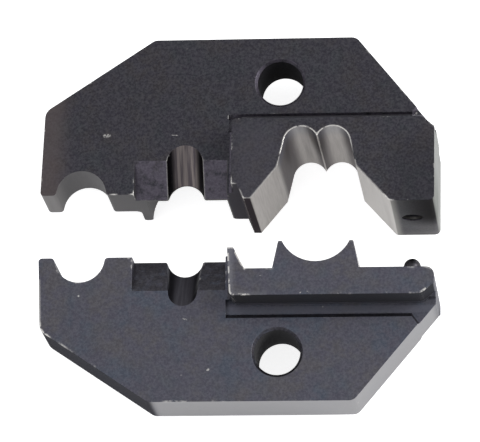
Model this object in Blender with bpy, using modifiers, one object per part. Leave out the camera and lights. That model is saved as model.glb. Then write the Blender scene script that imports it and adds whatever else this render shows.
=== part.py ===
"""The two halves of a crimp die for a ratchet crimping tool, shown open, with a pin in the lower half.

X runs along the die, Y is the closing direction and Z is the thickness. The halves lie on their back faces.
Each half is drawn from its mating face: its left end is x = 0 and its mating face is y = 0.
"""

import math

import bmesh
import bpy
from mathutils import Matrix, Vector

MM = 0.001

# Where the stations are along the die, each measured from the one before.
LEFT_END_TO_NEST = 3.8 * MM
NEST_TO_STRIPPER = 9.55 * MM
STRIPPER_TO_CRIMP = 12.41 * MM
CRIMP_TO_PIN = 8.44 * MM
PIN_TO_RIGHT_END = 2.3 * MM

# The blank that both halves are milled from.
UPPER_HEIGHT = 14.9 * MM
LOWER_HEIGHT = 13.65 * MM
PLATE_THICKNESS = 5.5 * MM
BLOCK_PROUD = 3.0 * MM
LEFT_END_LEAN = 0.28 * MM
LEFT_SLOPE_RUN = 10.1 * MM
LEFT_SLOPE_DROP = 6.8 * MM
RIGHT_SLOPE_RUN = 7.4 * MM
RIGHT_SLOPE_DROP = 9.05 * MM
LEFT_END_RADIUS = 1.1 * MM
BACK_EDGE_RADIUS = 0.9 * MM
TIP_RADIUS = 0.35 * MM

# How far the mating faces are apart when the die is open, and when the tool has closed it.
OPEN_GAP = 6.0 * MM
CLOSED_GAP = 0.1 * MM

# The hole for the screw that holds each half in its jaw, midway between the block and the back edge.
MOUNT_HOLE_LEFT_OF_CRIMP = 3.66 * MM
MOUNT_HOLE_RADIUS = 2.1 * MM
MOUNT_HOLE_CHAMFER = 0.25 * MM

# The plain round nest near the left end.
ROUND_NEST_RADIUS = 2.33 * MM
NEST_CORNER_RADIUS = 0.35 * MM

# The stripping station: a bevelled blade with a round eye in front, and a seat for the cable behind it.
EYE_RADIUS = 1.68 * MM
EYE_CENTRE_OUTSIDE = 0.3 * MM
EYE_CORNER_RADIUS = 0.25 * MM
BEVEL_LEFT_OF_EYE = 4.68 * MM
BEVEL_RIGHT_OF_EYE = 3.92 * MM
BEVEL_RISE = 3.2 * MM
BEVEL_DEPTH = 1.95 * MM
BLADE_LAND = 0.3 * MM
UPPER_FLUTE_RADIUS = 1.68 * MM
LOWER_FLUTE_RADIUS = 1.35 * MM
CABLE_SEAT_RADIUS = 3.76 * MM
CABLE_SEAT_LIP = 0.84 * MM
CABLE_SEAT_MOUTH_RADIUS = 0.45 * MM

# The thick block that carries the crimp profile. Its height is measured from the mating face.
UPPER_BLOCK_HEIGHT = 6.25 * MM
LOWER_BLOCK_HEIGHT = 4.5 * MM
BLOCK_CORNER_RUN = 1.2 * MM
BLOCK_CORNER_DROP = 1.0 * MM
BLOCK_CORNER_RADIUS = 0.4 * MM
BLOCK_END_RADIUS = 1.0 * MM
LOWER_BLOCK_LEAN = 0.25 * MM
FOOT_FILLET_RADIUS = 0.6 * MM
BACK_LAND_EDGE_RADIUS = 0.3 * MM
RELIEF_WIDTH = 0.95 * MM
RELIEF_DEPTH = 0.45 * MM
RELIEF_WALL = 0.4 * MM
RELIEF_END_FROM_RIGHT = 2.2 * MM
RELIEF_END_ANGLE = math.radians(54)

# The W-shaped crimp profile in the upper block.
ARCH_RADIUS = 1.61 * MM
ARCH_SPREAD = 1.45 * MM
ARCH_CENTRE_HEIGHT = 3.8 * MM
WALL_TOP_HALF_WIDTH = 3.0 * MM
WALL_FOOT_HALF_WIDTH = 3.6 * MM
WALL_FOOT_HEIGHT = 1.6 * MM
LEFT_FLARE_RUN_PER_RISE = 0.81
RIGHT_FLARE_RUN_PER_RISE = 0.91
LEFT_LEG_LENGTH = 1.38 * MM
RIGHT_LEG_LENGTH = 1.76 * MM
LEFT_LEG_WIDTH = 0.67 * MM
LEG_TAPER = 0.58 * MM
LEG_STEP_WIDTH = 0.55 * MM
RIGHT_LEG_CORNER_RADIUS = 0.5 * MM
RIGHT_FLARE_CORNER_RADIUS = 0.4 * MM

# The anvil in the lower block, which pushes the terminal into the W.
ANVIL_CLEARANCE = 0.18 * MM
ANVIL_HEIGHT = 0.54 * MM
ANVIL_TIP_WIDTH = 0.34 * MM
ANVIL_CUP_RADIUS = 3.42 * MM
ANVIL_BASE_SPREAD = 0.52 * MM
ANVIL_TIP_RADIUS = 0.12 * MM
LEG_BOTTOM_CLEARANCE = 0.24 * MM
LEG_SIDE_CLEARANCE = 0.17 * MM
HORN_TIP_WIDTH = 0.32 * MM
HORN_FOOT_SPREAD = 0.42 * MM
LOWER_TIP_RADIUS = 0.75 * MM

# The guide pin, pressed into the lower half at mid thickness, and the hole that it enters.
PIN_RADIUS = 0.8 * MM
PIN_STAND_UP = 2.3 * MM
PIN_SEAT_DEPTH = 4.0 * MM
PIN_SEAT_CLEARANCE = 0.03 * MM
PIN_GUIDE_CLEARANCE = 0.165 * MM
PIN_GUIDE_END_CLEARANCE = 1.2 * MM
PIN_FOOT_CHAMFER = 0.15 * MM

# How far a cutter runs past the metal, how deep joined solids go into each other, and the steps in a round.
PAST = 1.0 * MM
LAP = 0.5 * MM
ROUND_STEPS = 64
PIN_STEPS = 32
ARC_STEP = math.radians(7.5)
FILLET_STEP = math.radians(15)
WELD = 0.01 * MM
CLEAN = 0.001 * MM
FLAT_ANGLE = math.radians(0.05)

# Levels through the thickness, from the face that the halves lie on.
BACK_FACE = 0.0
PLATE_BACK = BLOCK_PROUD
PLATE_FRONT = PLATE_BACK + PLATE_THICKNESS
FRONT_FACE = PLATE_FRONT + BLOCK_PROUD
MID_THICKNESS = (BACK_FACE + FRONT_FACE) / 2

# Places along the die, and heights, that the two halves share.
ROUND_NEST_X = LEFT_END_TO_NEST
STRIPPER_X = ROUND_NEST_X + NEST_TO_STRIPPER
CRIMP_X = STRIPPER_X + STRIPPER_TO_CRIMP
PIN_X = CRIMP_X + CRIMP_TO_PIN
DIE_LENGTH = PIN_X + PIN_TO_RIGHT_END
MOUNT_HOLE_X = CRIMP_X - MOUNT_HOLE_LEFT_OF_CRIMP
LEFT_FLARE_RUN = LEFT_FLARE_RUN_PER_RISE * (WALL_FOOT_HEIGHT + LEFT_LEG_LENGTH)
RIGHT_FLARE_RUN = RIGHT_FLARE_RUN_PER_RISE * (WALL_FOOT_HEIGHT + RIGHT_LEG_LENGTH)
LEFT_FLARE_HALF_WIDTH = WALL_FOOT_HALF_WIDTH + LEFT_FLARE_RUN
RIGHT_FLARE_HALF_WIDTH = WALL_FOOT_HALF_WIDTH + RIGHT_FLARE_RUN
LEFT_LEG_X = CRIMP_X - LEFT_FLARE_HALF_WIDTH - LEFT_LEG_WIDTH
LEG_STEP_X = LEFT_LEG_X - LEG_TAPER
BLOCK_LEFT = LEG_STEP_X - LEG_STEP_WIDTH
BACK_LAND_LEFT = STRIPPER_X - CABLE_SEAT_RADIUS - CABLE_SEAT_LIP
FLAT_HEIGHT = -(RIGHT_LEG_LENGTH + LEG_BOTTOM_CLEARANCE)
LOWER_FACE_Y = (LOWER_HEIGHT - UPPER_HEIGHT - OPEN_GAP) / 2
UPPER_FACE_Y = LOWER_FACE_Y + OPEN_GAP


def new_collection(name):
    collection = bpy.data.collections.new(name)
    bpy.context.scene.collection.children.link(collection)
    return collection


def new_material(name, color, metallic, roughness):
    material = bpy.data.materials.new(name)
    material.use_nodes = True
    shader = material.node_tree.nodes["Principled BSDF"]
    shader.inputs["Base Color"].default_value = (*color, 1.0)
    shader.inputs["Metallic"].default_value = metallic
    shader.inputs["Roughness"].default_value = roughness
    return material


def arc(centre_x, centre_y, radius, start, end, step_angle=ARC_STEP):
    """Points on an arc, both ends included, from one angle to the other."""
    steps = max(2, math.ceil(abs(end - start) / step_angle))
    angles = [start + (end - start) * step / steps for step in range(steps + 1)]
    return [(centre_x + radius * math.cos(a), centre_y + radius * math.sin(a)) for a in angles]


def rounded(corners):
    """A closed outline from (x, y, radius) corners, with a tangent arc at each corner that has a radius."""
    points = []
    for index, (x, y, radius) in enumerate(corners):
        here = Vector((x, y))
        before = Vector(corners[index - 1][:2]) - here
        after = Vector(corners[(index + 1) % len(corners)][:2]) - here
        if not radius:
            points.append((x, y))
            continue
        half_angle = before.angle(after) / 2
        reach = min(radius / math.tan(half_angle), before.length / 2, after.length / 2)
        fitted = reach * math.tan(half_angle)
        middle = (before.normalized() + after.normalized()).normalized()
        centre = here + middle * fitted / math.sin(half_angle)
        first = here + before.normalized() * reach - centre
        sweep = first.angle_signed(here + after.normalized() * reach - centre)
        start = math.atan2(first.y, first.x)
        points += arc(centre.x, centre.y, fitted, start, start - sweep, FILLET_STEP)
    return points


def mesh_object(name, mesh, collection):
    thing = bpy.data.objects.new(name, mesh)
    collection.objects.link(thing)
    if collection is cutters:
        thing.hide_render = True
        thing.display_type = "WIRE"
    return thing


def prism(name, outline, low, high, along="Z"):
    """A solid with this outline, running from low to high along X, Y or Z.

    The outline is in (x, y) along Z, in (x, z) along Y and in (y, z) along X.
    """
    curve = bpy.data.curves.new(name, "CURVE")
    curve.dimensions = "2D"
    curve.fill_mode = "BOTH"
    curve.extrude = (high - low) / 2
    spline = curve.splines.new("POLY")
    spline.points.add(len(outline) - 1)
    for point, (across, up) in zip(spline.points, outline):
        point.co = (across, up, 0, 1)
    spline.use_cyclic_u = True
    flat = bpy.data.objects.new(name + "_outline", curve)
    cutters.objects.link(flat)
    bpy.context.view_layer.update()
    mesh = bpy.data.meshes.new_from_object(flat.evaluated_get(bpy.context.evaluated_depsgraph_get()))
    bpy.data.objects.remove(flat)
    bpy.data.curves.remove(curve)
    turns = {
        "Z": Matrix.Identity(4),
        "Y": Matrix(((1, 0, 0, 0), (0, 0, 1, 0), (0, 1, 0, 0), (0, 0, 0, 1))),
        "X": Matrix(((0, 0, 1, 0), (1, 0, 0, 0), (0, 1, 0, 0), (0, 0, 0, 1))),
    }
    shape = bmesh.new()
    shape.from_mesh(mesh)
    bmesh.ops.remove_doubles(shape, verts=shape.verts, dist=WELD)
    bmesh.ops.dissolve_limit(shape, angle_limit=WELD, verts=shape.verts, edges=shape.edges)
    middle = Matrix.Translation((0, 0, (low + high) / 2))
    bmesh.ops.transform(shape, matrix=turns[along] @ middle, verts=shape.verts)
    bmesh.ops.recalc_face_normals(shape, faces=shape.faces)
    shape.to_mesh(mesh)
    shape.free()
    return mesh_object(name, mesh, cutters)


def turned(name, rings, place, steps=ROUND_STEPS):
    """A solid through circles of (radius, level, shift in Y) about one axis, moved and turned by place."""
    shape = bmesh.new()
    loops = []
    for radius, level, shift in rings:
        middle = Matrix.Translation((0, shift, level)) @ Matrix.Rotation(math.pi / steps, 4, "Z")
        made = bmesh.ops.create_circle(shape, segments=steps, radius=radius, matrix=middle)
        loops.append(made["verts"])
    for low, high in zip(loops, loops[1:]):
        for index in range(steps):
            shape.faces.new((low[index - 1], low[index], high[index], high[index - 1]))
    shape.faces.new(loops[0])
    shape.faces.new(loops[-1])
    bmesh.ops.transform(shape, matrix=place, verts=shape.verts)
    bmesh.ops.recalc_face_normals(shape, faces=shape.faces)
    mesh = bpy.data.meshes.new(name)
    shape.to_mesh(mesh)
    shape.free()
    return mesh_object(name, mesh, cutters)


def cylinder(name, low, high, radius, place, steps=ROUND_STEPS):
    return turned(name, [(radius, low, 0), (radius, high, 0)], place, steps)


def boolean(body, other, operation):
    modifier = body.modifiers.new(f"{operation.lower()} {other.name}", "BOOLEAN")
    modifier.operation = operation
    modifier.solver = "EXACT"
    modifier.object = other


def add(body, other):
    boolean(body, other, "UNION")


def cut(body, other):
    boolean(body, other, "DIFFERENCE")


def baked(body, name, material, location):
    """Applies the booleans, and shades the round walls smooth."""
    bpy.context.view_layer.update()
    graph = bpy.context.evaluated_depsgraph_get()
    mesh = bpy.data.meshes.new_from_object(body.evaluated_get(graph))
    mesh.name = name
    shape = bmesh.new()
    shape.from_mesh(mesh)
    bmesh.ops.remove_doubles(shape, verts=shape.verts, dist=CLEAN)
    bmesh.ops.dissolve_limit(shape, angle_limit=FLAT_ANGLE, verts=shape.verts, edges=shape.edges)
    shape.to_mesh(mesh)
    shape.free()
    mesh.shade_smooth()
    mesh.set_sharp_from_angle(angle=math.radians(25))
    mesh.materials.clear()
    mesh.materials.append(material)
    bpy.data.objects.remove(body)
    thing = mesh_object(name, mesh, parts)
    thing.location = location
    return thing


def up(side, outline):
    """Turns an outline drawn for the upper half into the one for this half."""
    return [(x, side * y, *rest) for x, y, *rest in outline]


def plate(name, side, height):
    """The flat blank of one half, with its two sloping back corners. It runs past the mating face."""
    slope = RIGHT_SLOPE_RUN / RIGHT_SLOPE_DROP
    foot = -RIGHT_LEG_LENGTH - 2 * PAST
    outline = [
        (0, foot, 0),
        (0, 0, 0),
        (LEFT_END_LEAN, height - LEFT_SLOPE_DROP, LEFT_END_RADIUS),
        (LEFT_END_LEAN + LEFT_SLOPE_RUN, height, BACK_EDGE_RADIUS),
        (DIE_LENGTH - RIGHT_SLOPE_RUN, height, BACK_EDGE_RADIUS),
        (DIE_LENGTH + slope * PAST, height - RIGHT_SLOPE_DROP - PAST, 0),
        (DIE_LENGTH + slope * PAST, foot, 0),
    ]
    return prism(name, rounded(up(side, outline)), PLATE_BACK, PLATE_FRONT)


def land(name, side, left, lean, block_height, low, high):
    """A raised land from left to the right end. It runs past the mating face and past the right end.

    Its left wall leans out by lean from the back edge to the mating face.
    """
    past = 1 + PAST / BLOCK_CORNER_RUN
    right = DIE_LENGTH - BLOCK_CORNER_RUN
    foot = -RIGHT_LEG_LENGTH - PAST
    outline = [
        (left - lean * (block_height - foot) / block_height, foot, 0),
        (left, block_height, BLOCK_CORNER_RADIUS),
        (right, block_height, BLOCK_END_RADIUS),
        (right + BLOCK_CORNER_RUN * past, block_height - BLOCK_CORNER_DROP * past, 0),
        (right + BLOCK_CORNER_RUN * past, foot, 0),
    ]
    return prism(name, rounded(up(side, outline)), low, high)


def foot_fillet(name, side, wall_x, level, outward, block_height):
    """The hollow fillet where a land's end at wall_x meets the plate. outward is +1 in front, -1 behind."""
    radius = FOOT_FILLET_RADIUS
    centre_x = wall_x - radius
    centre_z = level + outward * radius
    hollow = arc(centre_x, centre_z, radius, -outward * math.pi / 2, 0, FILLET_STEP)
    # Both ends of the hollow are drawn on into the metal.
    into_plate = Vector(hollow[0]) * 2 - Vector(hollow[1])
    into_wall = Vector(hollow[-1]) * 2 - Vector(hollow[-2])
    outline = [
        into_plate,
        *hollow[1:-1],
        into_wall,
        (wall_x + LAP, into_wall.y),
        (wall_x + LAP, level - outward * LAP),
        (into_plate.x, level - outward * LAP),
    ]
    low, high = sorted((-side * PAST, side * (block_height - BLOCK_CORNER_RADIUS)))
    return prism(name, outline, low, high, along="Y")


def back_edge_round(name, block_height):
    """The cutter that rounds the left edge of a back land where it meets the back face."""
    radius = BACK_LAND_EDGE_RADIUS
    edge = arc(BACK_LAND_LEFT + radius, BACK_FACE + radius, radius, math.pi, 3 * math.pi / 2, FILLET_STEP)
    # Both ends of the round are drawn on, past the wall and past the back face.
    past_wall = Vector(edge[0]) * 2 - Vector(edge[1])
    past_face = Vector(edge[-1]) * 2 - Vector(edge[-2])
    outline = [
        past_wall,
        *edge[1:-1],
        past_face,
        (past_face.x, BACK_FACE - PAST),
        (BACK_LAND_LEFT - PAST, BACK_FACE - PAST),
        (BACK_LAND_LEFT - PAST, past_wall.y),
    ]
    reach = block_height + PAST
    return prism(name, outline, -reach, reach, along="Y")


def relief(name, side, left, block_height, level, outward):
    """The shallow groove that the cutter leaves in the plate along the back edge of a land."""
    outer = block_height + RELIEF_WIDTH
    turn_x = DIE_LENGTH - RELIEF_END_FROM_RIGHT
    far_y = outer + RIGHT_SLOPE_DROP
    outline = [
        (left, block_height - LAP),
        (left, outer),
        (turn_x, outer),
        (turn_x + RIGHT_SLOPE_DROP / math.tan(RELIEF_END_ANGLE), far_y),
        (DIE_LENGTH + RIGHT_SLOPE_DROP, far_y),
        (DIE_LENGTH + RIGHT_SLOPE_DROP, block_height - LAP),
    ]
    height = RELIEF_DEPTH + PAST
    low, high = sorted((level - outward * RELIEF_DEPTH, level + outward * PAST))
    groove = prism(name, up(side, outline), low, high)
    # The outer wall slopes, so the cutter is wider outside the plate.
    for vertex in groove.data.vertices:
        if (vertex.co.z - level) * outward > 0 and vertex.co.y * side > outer - WELD:
            vertex.co.y += side * height * RELIEF_WALL / RELIEF_DEPTH
    return groove


def stripper_cutters(name, side, flute_radius):
    """The bevel, the eye with its flute, and the cable seat of the stripping station."""
    blade_front = PLATE_FRONT - BEVEL_DEPTH
    seat_floor = blade_front - BLADE_LAND
    bevel_left = STRIPPER_X - BEVEL_LEFT_OF_EYE
    bevel_right = STRIPPER_X + BEVEL_RIGHT_OF_EYE
    run = BEVEL_RISE / BEVEL_DEPTH
    bevel = [
        (BEVEL_RISE + run * PAST, PLATE_FRONT + PAST),
        (-run * PAST, blade_front - PAST),
        (-run * PAST - PAST, PLATE_FRONT + PAST),
    ]
    bevel_outline = [(side * y, z) for y, z in bevel]
    bevel_cut = prism(name + "_bevel", bevel_outline, bevel_left, bevel_right, along="X")

    # The flute is as deep below the bevel at the plate's front face as the eye is at the blade.
    eye_depth = EYE_RADIUS - EYE_CENTRE_OUTSIDE
    front_shift = BEVEL_RISE + eye_depth - flute_radius + EYE_CENTRE_OUTSIDE
    past_front = 1 + PAST / BEVEL_DEPTH
    last_radius = EYE_RADIUS + (flute_radius - EYE_RADIUS) * past_front
    rings = [
        (EYE_RADIUS, seat_floor - PAST, 0),
        (EYE_RADIUS, seat_floor + BLADE_LAND / 2, 0),
        (last_radius, PLATE_FRONT + PAST, side * front_shift * past_front),
    ]
    eye_axis = Matrix.Translation((STRIPPER_X, -side * EYE_CENTRE_OUTSIDE, 0))

    # The seat's mouth is rounded, and the round is drawn on past the back face.
    lip = CABLE_SEAT_MOUTH_RADIUS
    mouth = arc(CABLE_SEAT_RADIUS + lip, BACK_FACE + lip, lip, math.pi, 3 * math.pi / 2, FILLET_STEP)
    mouth[-1] = Vector(mouth[-1]) * 2 - Vector(mouth[-2])
    seat = [(radius, level, 0) for radius, level in [(CABLE_SEAT_RADIUS, seat_floor), *mouth]]
    seat_axis = Matrix.Translation((STRIPPER_X, 0, 0))
    return [
        bevel_cut,
        turned(name + "_eye_and_flute", rings, eye_axis),
        turned(name + "_cable_seat", seat, seat_axis),
    ]


def mount_hole(name, height):
    """The cutter for the screw hole through the plate, with a chamfer at each face."""
    chamfer = MOUNT_HOLE_CHAMFER
    wide = MOUNT_HOLE_RADIUS + 2 * chamfer
    rings = [
        (wide, PLATE_BACK - chamfer, 0),
        (MOUNT_HOLE_RADIUS, PLATE_BACK + chamfer, 0),
        (MOUNT_HOLE_RADIUS, PLATE_FRONT - chamfer, 0),
        (wide, PLATE_FRONT + chamfer, 0),
    ]
    return turned(name, rings, Matrix.Translation((MOUNT_HOLE_X, height, 0)))


def half(name, side, height, block_height, block_lean, flute_radius, profile):
    """One half: the plate with its two lands, the holes and nests, and last the mating profile."""
    body = plate(name + "_plate", side, height)
    front_left = BLOCK_LEFT - FOOT_FILLET_RADIUS
    back_left = BACK_LAND_LEFT - FOOT_FILLET_RADIUS
    cut(body, relief(name + "_front_relief", side, front_left, block_height, PLATE_FRONT, 1))
    cut(body, relief(name + "_back_relief", side, back_left, block_height, PLATE_BACK, -1))
    block_levels = (PLATE_FRONT - LAP, FRONT_FACE)
    back_levels = (BACK_FACE, PLATE_BACK + LAP)
    add(body, land(name + "_block", side, BLOCK_LEFT, block_lean, block_height, *block_levels))
    add(body, land(name + "_back_land", side, BACK_LAND_LEFT, 0, block_height, *back_levels))
    add(body, foot_fillet(name + "_block_fillet", side, BLOCK_LEFT, PLATE_FRONT, 1, block_height))
    add(body, foot_fillet(name + "_land_fillet", side, BACK_LAND_LEFT, PLATE_BACK, -1, block_height))
    cut(body, back_edge_round(name + "_back_edge_round", block_height))
    cut(body, mount_hole(name + "_mount_hole", side * (block_height + height) / 2))
    for tool in stripper_cutters(name, side, flute_radius):
        cut(body, tool)
    nest_axis = Matrix.Translation((ROUND_NEST_X, 0, 0))
    nest_ends = (PLATE_BACK - PAST, PLATE_FRONT + PAST)
    cut(body, cylinder(name + "_round_nest", *nest_ends, ROUND_NEST_RADIUS, nest_axis))
    cut(body, profile)
    return body


def eased_corners(centre_x, radius, outside, ease):
    """The mating edge past a round nest, with both of its corners rounded to the radius ease.

    The nest's centre is this far outside the mating face. Between its corners the edge is a chord.
    """
    half_width = math.sqrt((radius + ease) ** 2 - (outside + ease) ** 2)
    turn = -math.atan2(outside + ease, half_width)
    left = arc(centre_x - half_width, ease, ease, -math.pi / 2, turn, FILLET_STEP)
    return left + [(2 * centre_x - x, y) for x, y in reversed(left)]


def mating_profile(name, side, edge):
    """The cutter that gives a half its mating face. edge runs from the left end to the right end."""
    far = side * UPPER_HEIGHT
    tip = arc(TIP_RADIUS, side * TIP_RADIUS, TIP_RADIUS, math.pi, math.pi + side * math.pi / 2, FILLET_STEP)
    past_end = Vector(tip[0]) * 2 - Vector(tip[1])
    nests = eased_corners(ROUND_NEST_X, ROUND_NEST_RADIUS, 0, NEST_CORNER_RADIUS)
    nests += eased_corners(STRIPPER_X, EYE_RADIUS, EYE_CENTRE_OUTSIDE, EYE_CORNER_RADIUS)
    outline = [
        (-PAST, -far, 0),
        (-PAST, side * (TIP_RADIUS + PAST), 0),
        *[(x, y, 0) for x, y in (past_end, *tip[1:])],
        *[(x, side * y, 0) for x, y in nests],
        *edge,
        (DIE_LENGTH, far, 0),
        (DIE_LENGTH + 2 * PAST, far, 0),
        (DIE_LENGTH + 2 * PAST, -far, 0),
    ]
    return prism(name, rounded(outline), BACK_FACE - PAST, FRONT_FACE + PAST)


def upper_edge():
    """The mating edge of the upper half: two legs, and between them the W that folds the terminal.

    The W has two arches that meet in a cusp, tapered walls, and a flared mouth that leads the terminal in.
    """
    wall_angle = math.acos((WALL_TOP_HALF_WIDTH - ARCH_SPREAD) / ARCH_RADIUS)
    cusp_angle = math.pi - math.acos(ARCH_SPREAD / ARCH_RADIUS)
    right_arch = arc(CRIMP_X + ARCH_SPREAD, ARCH_CENTRE_HEIGHT, ARCH_RADIUS, cusp_angle, wall_angle)
    left_arch = [(2 * CRIMP_X - x, y) for x, y in reversed(right_arch)]
    return [
        (LEG_STEP_X, 0, 0),
        (LEFT_LEG_X, -LEFT_LEG_LENGTH, 0),
        (CRIMP_X - LEFT_FLARE_HALF_WIDTH, -LEFT_LEG_LENGTH, 0),
        (CRIMP_X - WALL_FOOT_HALF_WIDTH, WALL_FOOT_HEIGHT, 0),
        *[(x, y, 0) for x, y in left_arch + right_arch[1:]],
        (CRIMP_X + WALL_FOOT_HALF_WIDTH, WALL_FOOT_HEIGHT, 0),
        (CRIMP_X + RIGHT_FLARE_HALF_WIDTH, -RIGHT_LEG_LENGTH, RIGHT_FLARE_CORNER_RADIUS),
        (DIE_LENGTH, -RIGHT_LEG_LENGTH, RIGHT_LEG_CORNER_RADIUS),
    ]


def lower_edge():
    """The mating edge of the lower half: a horn, the cupped anvil that fits the W, and the pin's flat."""
    horn_side_x = LEFT_LEG_X - LEG_SIDE_CLEARANCE
    tip_outer = WALL_FOOT_HALF_WIDTH - ANVIL_CLEARANCE
    tip_inner = tip_outer - ANVIL_TIP_WIDTH
    base = tip_outer + ANVIL_BASE_SPREAD
    half_cup = math.asin(tip_inner / ANVIL_CUP_RADIUS)
    cup_centre = ANVIL_HEIGHT + ANVIL_CUP_RADIUS * math.cos(half_cup)
    bottom = -math.pi / 2
    cup = arc(CRIMP_X, cup_centre, ANVIL_CUP_RADIUS, bottom - half_cup, bottom + half_cup)
    return [
        (BLOCK_LEFT + HORN_TIP_WIDTH, 0, 0),
        (horn_side_x, CLOSED_GAP - LEFT_LEG_LENGTH, 0),
        (horn_side_x + HORN_FOOT_SPREAD, FLAT_HEIGHT, 0),
        (CRIMP_X - base, FLAT_HEIGHT, 0),
        (CRIMP_X - tip_outer, ANVIL_HEIGHT, ANVIL_TIP_RADIUS),
        *[(x, y, 0) for x, y in cup],
        (CRIMP_X + tip_outer, ANVIL_HEIGHT, ANVIL_TIP_RADIUS),
        (CRIMP_X + base, FLAT_HEIGHT, 0),
        (DIE_LENGTH, FLAT_HEIGHT, LOWER_TIP_RADIUS),
    ]


def pin_axis(mouth):
    """Stands a cutter's own axis along Y, at the pin's place, with its level 0 at the mouth of the hole."""
    return Matrix.Translation((PIN_X, mouth, MID_THICKNESS)) @ Matrix.Rotation(-math.pi / 2, 4, "X")


def build_upper_die():
    profile = mating_profile("upper_profile", 1, upper_edge())
    body = half("upper", 1, UPPER_HEIGHT, UPPER_BLOCK_HEIGHT, 0, UPPER_FLUTE_RADIUS, profile)
    radius = PIN_RADIUS + PIN_GUIDE_CLEARANCE
    entry = PIN_STAND_UP + FLAT_HEIGHT - CLOSED_GAP + RIGHT_LEG_LENGTH
    depth = entry + PIN_GUIDE_END_CLEARANCE
    cut(body, cylinder("pin_guide_hole", -PAST, depth, radius, pin_axis(-RIGHT_LEG_LENGTH), PIN_STEPS))
    return baked(body, "upper_die", black_oxide, (-DIE_LENGTH / 2, UPPER_FACE_Y, 0))


def build_lower_die():
    profile = mating_profile("lower_profile", -1, lower_edge())
    body = half("lower", -1, LOWER_HEIGHT, LOWER_BLOCK_HEIGHT, LOWER_BLOCK_LEAN, LOWER_FLUTE_RADIUS, profile)
    floor = -PIN_SEAT_DEPTH - PIN_SEAT_CLEARANCE
    radius = PIN_RADIUS + PIN_SEAT_CLEARANCE
    cut(body, cylinder("pin_seat", floor, PAST, radius, pin_axis(FLAT_HEIGHT), PIN_STEPS))
    return baked(body, "lower_die", black_oxide, (-DIE_LENGTH / 2, LOWER_FACE_Y, 0))


def build_guide_pin():
    """A turned dowel with a round nose. Its origin is where it comes out of the lower half."""
    nose = arc(0, PIN_STAND_UP - PIN_RADIUS, PIN_RADIUS, math.pi / 2, 0)
    nose[0] = (0, PIN_STAND_UP)
    foot = [
        (PIN_RADIUS, -PIN_SEAT_DEPTH + PIN_FOOT_CHAMFER),
        (PIN_RADIUS - PIN_FOOT_CHAMFER, -PIN_SEAT_DEPTH),
        (0, -PIN_SEAT_DEPTH),
    ]
    profile = nose + foot
    mesh = bpy.data.meshes.new("guide_pin")
    edges = [(index, index + 1) for index in range(len(profile) - 1)]
    mesh.from_pydata([(radius, 0, height) for radius, height in profile], edges, [])
    pin = mesh_object("guide_pin", mesh, parts)
    screw = pin.modifiers.new("turned", "SCREW")
    screw.axis = "Z"
    screw.steps = PIN_STEPS
    screw.render_steps = PIN_STEPS
    screw.use_merge_vertices = True
    screw.merge_threshold = WELD
    screw.use_smooth_shade = True
    mesh.materials.append(ground_steel)
    pin.location = (PIN_X - DIE_LENGTH / 2, LOWER_FACE_Y + FLAT_HEIGHT, MID_THICKNESS)
    pin.rotation_euler = (-math.pi / 2, 0, 0)
    return pin


for old in list(bpy.data.objects):
    bpy.data.objects.remove(old)

parts = new_collection("crimp_die")
cutters = new_collection("cutters")
black_oxide = new_material("black_oxide_steel", (0.045, 0.043, 0.05), 0.9, 0.45)
ground_steel = new_material("ground_pin_steel", (0.16, 0.16, 0.17), 1.0, 0.3)

build_upper_die()
build_lower_die()
build_guide_pin()
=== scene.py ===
"""Finishes, studio and camera for a crimp die: two halves and a guide pin, lying open on a white table."""

import math

import bpy
from mathutils import Matrix, Vector

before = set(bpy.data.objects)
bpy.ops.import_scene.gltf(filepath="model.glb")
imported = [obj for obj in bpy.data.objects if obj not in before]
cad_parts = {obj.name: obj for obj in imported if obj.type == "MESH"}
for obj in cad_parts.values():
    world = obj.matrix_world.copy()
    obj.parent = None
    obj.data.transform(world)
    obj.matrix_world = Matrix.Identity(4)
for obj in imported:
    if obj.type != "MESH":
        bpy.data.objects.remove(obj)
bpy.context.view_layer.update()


# The two halves are milled from hardened tool steel, black-oxided, and wire-cut where they crimp.
# The wire-cut walls stay bare satin steel, and use has rubbed the sharp edges bright.
# Places are in millimetres: X along the die, Y from the lower half to the upper, and Z up from the table.
MM = 0.001
CRIMP_X = 7.51
STRIPPER_X = -4.9
HOLE_X = 3.85
UPPER_HOLE_Y = 12.95
LOWER_HOLE_Y = -12.7
HOLE_REACH = 2.4
BLOCK_LEFT_X = -0.3
RIGHT_END_X = 18.25
UPPER_FACE_Y = 2.375
LOWER_FACE_Y = -3.625
PLATE_FRONT_Z = 8.5
BLOCK_FRONT_Z = 11.5
ARCH_SPREAD = 1.45
FAR = 100.0
EDGE_WEAR_WIDTH = 0.2
CORNER_SHADE_WIDTH = 0.7
EDGE_ROUND = 0.07
NICK_SPACING = 1.6
OXIDE_METALLIC = 0.85
OXIDE_ROUGHNESS = 0.5
BARE_ROUGHNESS = 0.33
DULL_ROUGHNESS_ADDED = 0.45


def linear(hex_colour):
    """An sRGB hex colour as the linear colour that a socket takes."""
    channels = [int(hex_colour[i : i + 2], 16) / 255 for i in (1, 3, 5)]
    return (*[c / 12.92 if c <= 0.04045 else ((c + 0.055) / 1.055) ** 2.4 for c in channels], 1.0)


def per_mm(size):
    """The scale of a texture whose features are this many millimetres across."""
    return 1 / (size * MM)


def add_node(tree, kind, links=None, **settings):
    """Adds a node. links maps an input's name or number to a socket or to a plain value."""
    node = tree.nodes.new(kind)
    for name, value in settings.items():
        setattr(node, name, value)
    for name, value in (links or {}).items():
        if isinstance(value, bpy.types.NodeSocket):
            tree.links.new(value, node.inputs[name])
        else:
            node.inputs[name].default_value = value
    return node


def new_finish(name):
    """A new material, its node tree and its Principled shader."""
    material = bpy.data.materials.new(name)
    material.use_nodes = True
    return material, material.node_tree, material.node_tree.nodes["Principled BSDF"]


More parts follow.
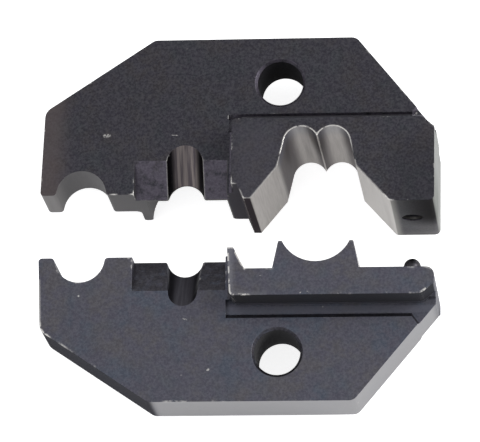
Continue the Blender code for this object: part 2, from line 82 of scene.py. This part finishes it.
def both(tree, *parts):
    """The product of masks. A part is a mask, a plain amount, or a value with where it gives 0 and 1."""
    product = None
    for part in parts:
        if isinstance(part, tuple):
            links = dict(zip(("Value", "From Min", "From Max"), part))
            ramp = add_node(tree, "ShaderNodeMapRange", links, interpolation_type="SMOOTHSTEP")
            part = ramp.outputs["Result"]
        if product is not None:
            links = {0: product, 1: part}
            times = add_node(tree, "ShaderNodeMath", links, operation="MULTIPLY", use_clamp=True)
            part = times.outputs["Value"]
        product = part
    return product


def either(tree, *masks):
    """The largest of masks or plain amounts."""
    largest = masks[0]
    for mask in masks[1:]:
        links = {0: largest, 1: mask}
        larger = add_node(tree, "ShaderNodeMath", links, operation="MAXIMUM", use_clamp=True)
        largest = larger.outputs["Value"]
    return largest


def coated(tree, base, *coats):
    """A colour under coats of others. A coat is its amount and colour, and a colour is hex or a socket."""
    for amount, coat in coats:
        under, over = [linear(tone) if isinstance(tone, str) else tone for tone in (base, coat)]
        base = add_node(tree, "ShaderNodeMix", {0: amount, 6: under, 7: over}, data_type="RGBA").outputs[2]
    return base


def zone(tree, axes, soft, x=(-FAR, FAR), y=(-FAR, FAR), z=(-FAR, FAR)):
    """1 inside a box in millimetres, and 0 outside it past a soft border."""
    sides = []
    for axis, (low, high) in zip("XYZ", (x, y, z)):
        if low > -FAR:
            sides.append((axes[axis], (low - soft) * MM, (low + soft) * MM))
        if high < FAR:
            sides.append((axes[axis], (high + soft) * MM, (high - soft) * MM))
    return both(tree, *sides)


def distance_from(tree, value, middle):
    """How far a value is from a middle one, either way."""
    offset = add_node(tree, "ShaderNodeMath", {0: value, 1: middle}, operation="SUBTRACT").outputs["Value"]
    return add_node(tree, "ShaderNodeMath", {0: offset}, operation="ABSOLUTE").outputs["Value"]


def scratch(tree, place, x, y, length, width, angle):
    """1 on a short scratch or dent, of which x and y are the middle, in millimetres."""
    links = {
        "Vector": place,
        "Location": (x * MM, y * MM, 0.0),
        "Rotation": (0.0, 0.0, math.radians(angle)),
        "Scale": (length / 2 * MM, width / 2 * MM, 1.0),
    }
    turned = add_node(tree, "ShaderNodeMapping", links, vector_type="TEXTURE").outputs["Vector"]
    reach = add_node(tree, "ShaderNodeVectorMath", {0: turned}, operation="LENGTH").outputs["Value"]
    return both(tree, (reach, 1.0, 0.5))


def die_steel(name, tones, face_y, profile, wear, scratches, patches, flute):
    """Black oxide over milled tool steel. It is a dull violet black with a fine grain, and turns to bare
    satin steel on the wire-cut profile, bright steel on rubbed edges, and other greys on the patches.
    Painted shade darkens its inner corners and the sides of its flute and arches, and many patches are
    painted shade or painted light."""
    material, tree, shader = new_finish(name)
    place = add_node(tree, "ShaderNodeTexCoord").outputs["Object"]
    axes = add_node(tree, "ShaderNodeSeparateXYZ", {"Vector": place}).outputs
    normal = add_node(tree, "ShaderNodeNewGeometry").outputs["True Normal"]
    facing = add_node(tree, "ShaderNodeSeparateXYZ", {"Vector": normal}).outputs["Z"]
    steep = add_node(tree, "ShaderNodeMath", {0: facing}, operation="ABSOLUTE").outputs["Value"]
    wall = both(tree, (steep, 0.3, 0.15))
    front = both(tree, (facing, 0.97, 0.99))
    not_front = both(tree, (facing, 0.99, 0.97))
    slanted = both(tree, (steep, 0.97, 0.93), (steep, 0.3, 0.4))

    # Each noise has the size of its features in millimetres, its detail and its roughness.
    # The real oxide's grain is finer than 0.05 mm, and is drawn at 0.22 mm so that it shows.
    along_flute = add_node(tree, "ShaderNodeMapping", {"Vector": place, "Scale": (1.0, 0.05, 0.05)})
    along_wire = add_node(tree, "ShaderNodeMapping", {"Vector": place, "Scale": (1.0, 1.0, 0.06)})
    along_flute, along_wire = along_flute.outputs["Vector"], along_wire.outputs["Vector"]
    noises = {
        "drift": (place, 4.5, 3.0, 0.55),
        "tint": (place, 1.3, 3.0, 0.6),
        "mottle": (place, 0.8, 4.0, 0.7),
        "grain": (place, 0.22, 2.0, 0.7),
        "streaks": (along_flute, 0.35, 3.0, 0.6),
        "lines": (along_wire, 0.16, 2.0, 0.6),
        "stain": (along_wire, 1.1, 3.0, 0.6),
        "ragged": (place, 0.5, 2.0, 0.6),
        "patchy": (place, 1.8, 4.0, 0.7),
        "gaps": (place, 0.6, 2.0, 0.6),
        "crumbled": (place, 0.2, 3.0, 0.6),
    }
    for kind, (vector, size, detail, roughness) in noises.items():
        links = {"Vector": vector, "Scale": per_mm(size), "Detail": detail, "Roughness": roughness}
        noises[kind] = add_node(tree, "ShaderNodeTexNoise", links).outputs["Fac"]

    # The oxide drifts between warm and cool tints and has a fine grain. The slanted ramps are mottled with a
    # tone of their own: a painted highlight on the upper half, where they face the table, and darker on the
    # lower half.
    oxide = coated(
        tree,
        tones["warm"],
        (both(tree, (noises["drift"], 0.4, 0.6)), tones["cool"]),
        (both(tree, (noises["tint"], 0.35, 0.65)), tones["face"]),
        (both(tree, slanted, (noises["mottle"], 0.3, 0.56)), tones["ramp"]),
    )
    darker = coated(tree, oxide, (0.45, "#000000"))
    lighter = coated(tree, oxide, (0.09, "#ffffff"))
    grained = coated(tree, darker, (both(tree, (noises["grain"], 0.28, 0.72)), lighter))
    oxide = coated(tree, oxide, (0.3, grained))

    # Inner corners are darkened by their ambient occlusion: painted shade.
    links = {"Distance": CORNER_SHADE_WIDTH * MM}
    shut_in = add_node(tree, "ShaderNodeAmbientOcclusion", links, samples=8, only_local=True).outputs["AO"]
    oxide = coated(tree, oxide, (both(tree, (shut_in, 0.75, 0.25), 0.5), "#121113"))

    # The flute of the stripping eye has streaks along its middle, painted lighter there as a painted
    # highlight, and its steep sides are painted dark as painted shade.
    radius = flute["radius"]
    off_eye = distance_from(tree, axes["X"], STRIPPER_X * MM)
    in_flute = zone(tree, axes, 0.05, x=(STRIPPER_X - radius, STRIPPER_X + radius), y=flute["y"])
    flute_streaks_and_shade = coated(
        tree,
        flute["dark"],
        (both(tree, (noises["streaks"], 0.35, 0.65)), flute["light"]),
        (both(tree, (off_eye, 0.45 * radius * MM, 0.8 * radius * MM)), flute["sides"]),
    )
    oxide = coated(tree, oxide, (both(tree, in_flute, not_front), flute_streaks_and_shade))

    # Places where the colour differs: some are real tints and wear, and many are painted shade or painted
    # light, such as on the ends, in the corners and in the screw holes.
    kinds = {"any": 1.0, "wall": wall, "front": front, "not_front": not_front}
    dull = 0.0
    for spot in patches:
        inside = both(tree, kinds[spot["kind"]], zone(tree, axes, spot["soft"], **spot["box"]))
        oxide = coated(tree, oxide, (both(tree, inside, spot["amount"]), spot["colour"]))
        if spot["dull"]:
            dull = either(tree, dull, inside)

    # The wire-cut profile is bare satin steel, with faint lines along the wire. The sides of its arches are
    # painted dark brown, painted shade over a real brown stain along the wire. Their mouths are bluish, the
    # ridge between them is light, and the right flare is painted light as a painted reflection.
    off_crimp = distance_from(tree, axes["X"], CRIMP_X * MM)
    off_arch = distance_from(tree, off_crimp, ARCH_SPREAD * MM)
    arches = zone(tree, axes, 0.5, y=(face_y + 2.0, face_y + 8.0))
    arch_shade_and_stain = either(
        tree,
        both(tree, (off_arch, 0.35 * MM, 1.35 * MM), arches, 0.75),
        both(tree, (noises["stain"], 0.48, 0.7), 0.2),
    )
    bare = coated(
        tree,
        "#a8a39f",
        (both(tree, (noises["lines"], 0.3, 0.7)), "#b4afab"),
        (arch_shade_and_stain, "#4c444b"),
        (both(tree, (off_crimp, 0.09 * MM, 0.05 * MM), arches), "#d8d4d0"),
        (both(tree, arches, (axes["Z"], 8.0 * MM, 11.0 * MM), 0.35), "#7f8696"),
        (both(tree, (axes["X"], (CRIMP_X + 2.6) * MM, (CRIMP_X + 3.6) * MM), 0.6), "#dedbd7"),
    )
    working = both(tree, wall, zone(tree, axes, 0.05, **profile))

    # Rubbed edges. The wear comes and goes along them, and is strongest in the zones given.
    links = {"Distance": EDGE_WEAR_WIDTH * MM}
    thin = add_node(tree, "ShaderNodeAmbientOcclusion", links, samples=8, inside=True, only_local=True)
    thin = thin.outputs["AO"]
    links = {0: noises["ragged"], 1: 0.3, 2: thin}
    ragged = add_node(tree, "ShaderNodeMath", links, operation="MULTIPLY_ADD", use_clamp=True)
    ragged = ragged.outputs["Value"]
    edge = both(tree, (ragged, wear["reach"], wear["reach"] - 0.22), (thin, 0.98, 0.92))
    patchy = both(tree, (noises["patchy"], 0.56, 0.68), 0.5)
    strong = either(tree, *[zone(tree, axes, 0.25, **box) for box in wear["strong"]])
    strong = both(tree, strong, (noises["gaps"], wear["gaps"], wear["gaps"] + 0.12))
    slight = both(tree, either(tree, *[zone(tree, axes, 0.1, **box) for box in wear["slight"]]), 0.4)
    rubbed = both(tree, edge, either(tree, patchy, strong, slight))

    # Nicks and scratches, where the oxide is knocked through.
    links = {"Vector": place, "Scale": per_mm(NICK_SPACING)}
    cells = add_node(tree, "ShaderNodeTexVoronoi", links, feature="F1").outputs
    picked = add_node(tree, "ShaderNodeSeparateColor", {"Color": cells["Color"]}).outputs["Red"]
    nicks = both(tree, (cells["Distance"], 0.075, 0.045), (picked, 0.95, 0.97), 0.6)
    dents = either(tree, *[scratch(tree, place, *dent) for dent in scratches])
    dents = both(tree, dents, front, (noises["crumbled"], 0.38, 0.58), 0.6)
    rubbed = either(tree, rubbed, nicks, dents)

    colour = coated(tree, oxide, (working, bare), (rubbed, "#e2dfda"))
    tree.links.new(colour, shader.inputs["Base Color"])
    tree.links.new(either(tree, working, rubbed, OXIDE_METALLIC), shader.inputs["Metallic"])
    smooth = either(tree, working, rubbed, both(tree, slanted, 0.9))
    links = {"Value": smooth, "To Min": OXIDE_ROUGHNESS, "To Max": BARE_ROUGHNESS}
    rough = add_node(tree, "ShaderNodeMapRange", links).outputs["Result"]
    dull = either(tree, dull, both(tree, working, arch_shade_and_stain, 0.6))
    links = {0: rough, 1: both(tree, dull, DULL_ROUGHNESS_ADDED)}
    rough = add_node(tree, "ShaderNodeMath", links, operation="ADD", use_clamp=True).outputs["Value"]
    tree.links.new(rough, shader.inputs["Roughness"])

    rounded = add_node(tree, "ShaderNodeBevel", {"Radius": EDGE_ROUND * MM}, samples=6).outputs["Normal"]
    links = {0: working, 2: noises["grain"], 3: noises["lines"]}
    height = add_node(tree, "ShaderNodeMix", links, data_type="FLOAT").outputs[0]
    links = {"Strength": 0.35, "Distance": 0.02 * MM, "Height": height, "Normal": rounded}
    tree.links.new(add_node(tree, "ShaderNodeBump", links).outputs["Normal"], shader.inputs["Normal"])
    return material


def patch(kind, colour, amount, soft=0.1, dull=False, **box):
    """A place, as a box in millimetres, where the finish differs on any face, or on those of one kind."""
    return dict(kind=kind, colour=colour, amount=amount, soft=soft, dull=dull, box=box)


def hole_shade_patch(hole_y):
    """The wall of a screw hole, painted dark as painted shade, and dull."""
    reach_x = (HOLE_X - HOLE_REACH, HOLE_X + HOLE_REACH)
    reach_y = (hole_y - HOLE_REACH, hole_y + HOLE_REACH)
    return patch("wall", "#161518", 0.75, dull=True, x=reach_x, y=reach_y)


plate_front = (PLATE_FRONT_Z - 0.5, FAR)
block_front = (BLOCK_FRONT_Z - 1.0, FAR)
block_face = (BLOCK_FRONT_Z - 1.5, FAR)
nest_lip = (UPPER_FACE_Y - 0.3, UPPER_FACE_Y + 0.3)
ramp_rise = (UPPER_FACE_Y, UPPER_FACE_Y + 3.8)
left_of_block = (UPPER_FACE_Y - 2.0, UPPER_FACE_Y + 2.6)
upper_groove = (UPPER_FACE_Y + 6.3, UPPER_FACE_Y + 7.4)
upper_wear = dict(
    reach=1.02,
    gaps=0.3,
    strong=[
        dict(x=(CRIMP_X - 3.4, CRIMP_X + 3.2), y=(UPPER_FACE_Y + 1.9, 8.3), z=plate_front),
        dict(x=(CRIMP_X + 5.9, CRIMP_X + 7.0), y=(0.5, 1.3), z=plate_front),
        dict(x=(CRIMP_X - 7.0, CRIMP_X - 6.5), y=(0.8, 1.3), z=block_front),
        dict(x=(-11.7, -11.2), y=nest_lip, z=plate_front),
        dict(x=(-9.9, -9.5), y=nest_lip, z=plate_front),
        dict(x=(BLOCK_LEFT_X - 0.4, BLOCK_LEFT_X + 0.4), y=(UPPER_FACE_Y, UPPER_FACE_Y + 0.6), z=block_front),
    ],
    slight=[
        dict(x=(STRIPPER_X - 2.0, STRIPPER_X - 1.3), y=ramp_rise),
        dict(x=(STRIPPER_X + 1.3, STRIPPER_X + 3.9), y=ramp_rise),
        dict(x=(CRIMP_X - 7.3, CRIMP_X - 6.3), y=(-1.0, UPPER_FACE_Y - 0.5)),
        dict(x=(CRIMP_X - 6.3, CRIMP_X + 7.0), y=(-1.0, UPPER_FACE_Y + 2.2), z=plate_front),
    ],
)
upper_scratches = [(-12.2, 8.07, 0.9, 0.45, 5), (-5.86, 8.03, 0.8, 0.12, -5), (16.35, 9.83, 0.6, 0.2, 60)]
upper_patches = [
    # The mating walls left of the block are painted lighter grey, a painted reflection of the white table,
    # and the outer foot is lightest.
    patch("wall", "#5e5c5d", 0.8, x=(-17.5, -1.0), y=left_of_block),
    patch("wall", "#7d7a79", 0.7, 0.6, x=(-17.0, -15.8), y=(UPPER_FACE_Y - 2.0, UPPER_FACE_Y + 1.0)),
    patch("wall", "#7d7a79", 0.8, 0.15, x=(-FAR, -16.6), y=(UPPER_FACE_Y - 2.0, UPPER_FACE_Y + 0.15)),
    # The walls of the left leg are painted lighter, a painted reflection of the table, and its end darker.
    patch("wall", "#6b686f", 0.8, dull=True, x=(-1.0, CRIMP_X - 6.0), y=(-FAR, UPPER_FACE_Y + 2.0)),
    patch(
        "wall", "#453c41", 0.9, 0.05, dull=True,
        x=(CRIMP_X - 7.2, CRIMP_X - 6.0), y=(-FAR, UPPER_FACE_Y - 0.3),
    ),
    # The mouth of the pin's hole is painted light grey: the ring the pin has rubbed, and a painted highlight
    # on its inner wall.
    patch("any", "#85837f", 0.85, 0.04, x=(14.9, 17.0), y=(0.76, 0.98), z=(4.7, 6.8)),
    # Faint tints on the front: warm at the left end, lighter at the block's left and darker on its right leg.
    patch("front", "#625856", 0.45, 1.2, x=(-FAR, -16.2)),
    patch("front", "#514f56", 0.3, 1.0, x=(0.0, 4.0), y=(-FAR, UPPER_FACE_Y + 5.8), z=block_face),
    patch("front", "#1a191c", 0.25, 1.5, x=(14.5, FAR), y=(-FAR, UPPER_FACE_Y + 4.0), z=block_face),
    # The end of the right leg is painted dark towards the front, painted shade, and light at its back and
    # left edge, a painted reflection of the table and a painted highlight on the rounded edge.
    patch("wall", "#8a8987", 0.6, 1.2, x=(CRIMP_X + 6.7, FAR), y=(-FAR, UPPER_FACE_Y - 1.5), z=(-FAR, 0.8)),
    patch(
        "wall", "#1d1b1c", 0.88, 2.0, dull=True,
        x=(CRIMP_X + 8.4, FAR), y=(-FAR, UPPER_FACE_Y + 1.0), z=(4.2, FAR),
    ),
    patch("wall", "#b0aea9", 0.8, 0.4, x=(CRIMP_X + 6.0, CRIMP_X + 7.1), y=(-FAR, UPPER_FACE_Y - 1.5)),
    # The right end is painted light grey, a painted reflection of the bright right side.
    patch("wall", "#8e908c", 0.85, 0.05, x=(RIGHT_END_X - 0.25, FAR), y=(UPPER_FACE_Y - 1.6, FAR)),
    hole_shade_patch(UPPER_HOLE_Y),
    # The relief groove beside the block is painted lighter than the plate, a painted highlight against the
    # shade of the block.
    patch("not_front", "#a09ea5", 0.85, 0.03, x=(0.3, FAR), y=upper_groove, z=(7.95, PLATE_FRONT_Z - 0.01)),
    patch("front", "#77757c", 0.7, 0.03, x=(0.3, FAR), y=upper_groove, z=(-FAR, PLATE_FRONT_Z - 0.2)),
]
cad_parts["upper_die"].material_slots[0].material = die_steel(
    "black_oxide_tool_steel_upper",
    dict(face="#35333b", warm="#373438", cool="#33343a", ramp="#544f5a"),
    UPPER_FACE_Y,
    dict(x=(CRIMP_X - 6.02, CRIMP_X + 6.75), y=(-FAR, UPPER_FACE_Y + 5.8)),
    upper_wear,
    upper_scratches,
    upper_patches,
    dict(
        radius=1.68, y=(UPPER_FACE_Y - 0.3, UPPER_FACE_Y + 5.5),
        light="#7a726f", dark="#4c464a", sides="#141215",
    ),
)

front_edges = (PLATE_FRONT_Z + 0.5, FAR)
lower_wear = dict(
    reach=1.1,
    gaps=0.4,
    strong=[
        dict(x=(BLOCK_LEFT_X - 0.8, BLOCK_LEFT_X + 1.6), y=(LOWER_FACE_Y - 4.8, LOWER_FACE_Y), z=front_edges),
        dict(x=(-FAR, -17.0), y=(LOWER_FACE_Y - 9.0, LOWER_FACE_Y - 6.0), z=(7.0, FAR)),
        dict(
            x=(RIGHT_END_X - 1.3, RIGHT_END_X - 0.6),
            y=(LOWER_FACE_Y - 4.5, LOWER_FACE_Y - 3.2),
            z=front_edges,
        ),
    ],
    slight=[dict(x=(-FAR, -17.0), y=(LOWER_FACE_Y - 6.5, LOWER_FACE_Y - 2.0), z=(7.0, FAR))],
)
lower_scratches = [
    (-4.61, -9.54, 0.55, 0.18, -20),
    (-2.43, -14.31, 0.36, 0.26, 30),
    (2.53, -6.31, 0.2, 0.12, 0),
    (6.18, -7.95, 0.25, 0.15, 40),
    (6.82, -7.88, 0.3, 0.12, -30),
]
lower_patches = [
    # The outer long edge and the right slope are painted light, a painted reflection of the table and the
    # right lamp, and the left slope and end are painted dark and dull, painted shade.
    patch("wall", "#a3a2a3", 0.7, 0.5, x=(-7.5, FAR), y=(-FAR, LOWER_FACE_Y - 4.7)),
    patch("wall", "#2b2b31", 0.8, 0.3, dull=True, x=(-FAR, -7.7), y=(-FAR, LOWER_FACE_Y - 4.0)),
    patch("wall", "#2b2b31", 0.8, 0.2, dull=True, x=(-FAR, -17.5)),
    hole_shade_patch(LOWER_HOLE_Y),
    # The outer wall of the block is painted dark and dull: painted shade under the block.
    patch(
        "wall", "#18181c", 0.7, 0.05, dull=True,
        x=(-0.2, RIGHT_END_X - 0.1), y=(LOWER_FACE_Y - 4.8, LOWER_FACE_Y - 3.0), z=(PLATE_FRONT_Z + 0.1, FAR),
    ),
    # The block's left edges are rubbed grey, and the floor of the relief groove is painted lighter, a painted
    # highlight.
    patch("front", "#95959a", 0.3, 0.35, x=(-FAR, 0.0), y=(LOWER_FACE_Y - 4.6, FAR), z=block_face),
    patch("front", "#95959a", 0.2, 0.3, x=(-FAR, 3.0), y=(-FAR, LOWER_FACE_Y - 4.3), z=block_face),
    patch(
        "front", "#62636d", 0.6,
        y=(LOWER_FACE_Y - 5.35, LOWER_FACE_Y - 4.7), z=(-FAR, PLATE_FRONT_Z - 0.2),
    ),
]
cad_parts["lower_die"].material_slots[0].material = die_steel(
    "black_oxide_tool_steel_lower",
    dict(face="#4f4e59", warm="#535156", cool="#4a4f5b", ramp="#3b393f"),
    LOWER_FACE_Y,
    dict(x=(CRIMP_X - 7.4, CRIMP_X + 4.0), y=(LOWER_FACE_Y - 2.2, FAR)),
    lower_wear,
    lower_scratches,
    lower_patches,
    dict(
        radius=1.37, y=(LOWER_FACE_Y - 5.5, LOWER_FACE_Y + 0.3),
        light="#4b4a50", dark="#3e3c42", sides="#2d2c31",
    ),
)


# The guide pin is a ground dowel of hardened steel, pressed into the lower half.
# Its oxide is thin, so it is a shinier grey black, with fine grinding rings round it.
# The real rings are about 0.03 mm apart, and are drawn at 0.12 mm so that they show.
PIN_RING_SPACING = 0.12
PIN_ROUGHNESS = 0.42

pin_finish, pin_tree, pin_shader = new_finish("ground_dowel_steel")
pin_place = add_node(pin_tree, "ShaderNodeTexCoord").outputs["Object"]
links = {"Vector": pin_place, "Scale": (0.1, 1.0, 0.1)}
pin_rings = add_node(pin_tree, "ShaderNodeMapping", links).outputs["Vector"]
links = {"Vector": pin_rings, "Scale": per_mm(PIN_RING_SPACING), "Detail": 3.0, "Roughness": 0.6}
pin_lines = add_node(pin_tree, "ShaderNodeTexNoise", links).outputs["Fac"]
pin_colour = coated(pin_tree, "#39383c", (both(pin_tree, (pin_lines, 0.3, 0.7)), "#454347"))
pin_tree.links.new(pin_colour, pin_shader.inputs["Base Color"])
pin_shader.inputs["Metallic"].default_value = 1.0
pin_shader.inputs["Roughness"].default_value = PIN_ROUGHNESS
pin_bump = add_node(pin_tree, "ShaderNodeBump", {"Strength": 0.2, "Distance": 0.01 * MM, "Height": pin_lines})
pin_tree.links.new(pin_bump.outputs["Normal"], pin_shader.inputs["Normal"])
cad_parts["guide_pin"].material_slots[0].material = pin_finish


# The table is a plain sheet of white paper, on which both halves lie with their backs down.
# It shows white to the camera and in the steel, and keeps a soft shadow of the die.
TABLE_WIDTH = 1.6
TABLE_ROUGHNESS = 0.8
GLOW_SEEN = 0.82
GLOW_REFLECTED = 0.4

table_mesh = bpy.data.meshes.new("table")
half = TABLE_WIDTH / 2
corners = [(-half, -half, 0), (half, -half, 0), (half, half, 0), (-half, half, 0)]
table_mesh.from_pydata(corners, [], [(0, 1, 2, 3)])
table = bpy.data.objects.new("table", table_mesh)
bpy.context.scene.collection.objects.link(table)
table_finish, table_tree, table_shader = new_finish("white_paper_sheet")
table_shader.inputs["Base Color"].default_value = linear("#dcdcdc")
table_shader.inputs["Roughness"].default_value = TABLE_ROUGHNESS
rays = add_node(table_tree, "ShaderNodeLightPath").outputs
reflected = either(table_tree, rays["Is Glossy Ray"], rays["Is Transmission Ray"])
glow = either(
    table_tree,
    both(table_tree, rays["Is Camera Ray"], GLOW_SEEN),
    both(table_tree, reflected, GLOW_REFLECTED),
)
table_shader.inputs["Emission Color"].default_value = (1.0, 1.0, 1.0, 1.0)
table_tree.links.new(glow, table_shader.inputs["Emission Strength"])
table_mesh.materials.append(table_finish)


# The studio is an even pale surround, with a large soft lamp on the right and a weaker one on the left.
# Lamps are placed in metres and have their power in watts.
SURROUND_STRENGTH = 0.75
KEY_LAMP = dict(place=(0.36, 0.08, 0.3), width=0.25, power=1.8)
FILL_LAMP = dict(place=(-0.3, -0.2, 0.45), width=0.35, power=0.5)

world = bpy.data.worlds.new("studio")
bpy.context.scene.world = world
world.use_nodes = True
surround = world.node_tree.nodes["Background"]
surround.inputs["Color"].default_value = linear("#f4f5f8")
surround.inputs["Strength"].default_value = SURROUND_STRENGTH
for lamp_name, settings in {"key_lamp": KEY_LAMP, "fill_lamp": FILL_LAMP}.items():
    light = bpy.data.lights.new(lamp_name, "AREA")
    light.shape = "SQUARE"
    light.size = settings["width"]
    light.energy = settings["power"]
    lamp = bpy.data.objects.new(lamp_name, light)
    bpy.context.scene.collection.objects.link(lamp)
    lamp.location = settings["place"]
    lamp.rotation_euler = Vector(settings["place"]).to_track_quat("Z", "Y").to_euler()


# The camera looks down on the die from the front, a little from the right, and is rolled as in the photo.
# Its angles and scale were fitted to the corners of both halves.
CAMERA_AZIMUTH = math.radians(19.18)
CAMERA_ELEVATION = math.radians(72.91)
CAMERA_ROLL = math.radians(-19.13)
CAMERA_DISTANCE = 0.4
CAMERA_TARGET = Vector((0.02, 0.51, 5.75)) * MM
PIXELS_PER_MM = 10.838
PHOTO_WIDTH = 480
SENSOR_WIDTH = 36.0

ahead = math.cos(CAMERA_ELEVATION)
away_x, away_y = math.sin(CAMERA_AZIMUTH) * ahead, -math.cos(CAMERA_AZIMUTH) * ahead
away = Vector((away_x, away_y, math.sin(CAMERA_ELEVATION)))
camera_data = bpy.data.cameras.new("camera")
camera = bpy.data.objects.new("camera", camera_data)
bpy.context.scene.collection.objects.link(camera)
bpy.context.scene.camera = camera
camera_data.sensor_width = SENSOR_WIDTH
camera_data.lens = PIXELS_PER_MM * CAMERA_DISTANCE / MM / PHOTO_WIDTH * SENSOR_WIDTH
camera_data.clip_start = 0.01
camera_data.clip_end = 5.0
upright = away.to_track_quat("Z", "Y").to_matrix().to_4x4() @ Matrix.Rotation(CAMERA_ROLL, 4, "Z")
camera.matrix_world = Matrix.Translation(CAMERA_TARGET + away * CAMERA_DISTANCE) @ upright

bpy.context.scene.view_settings.view_transform = "Standard"
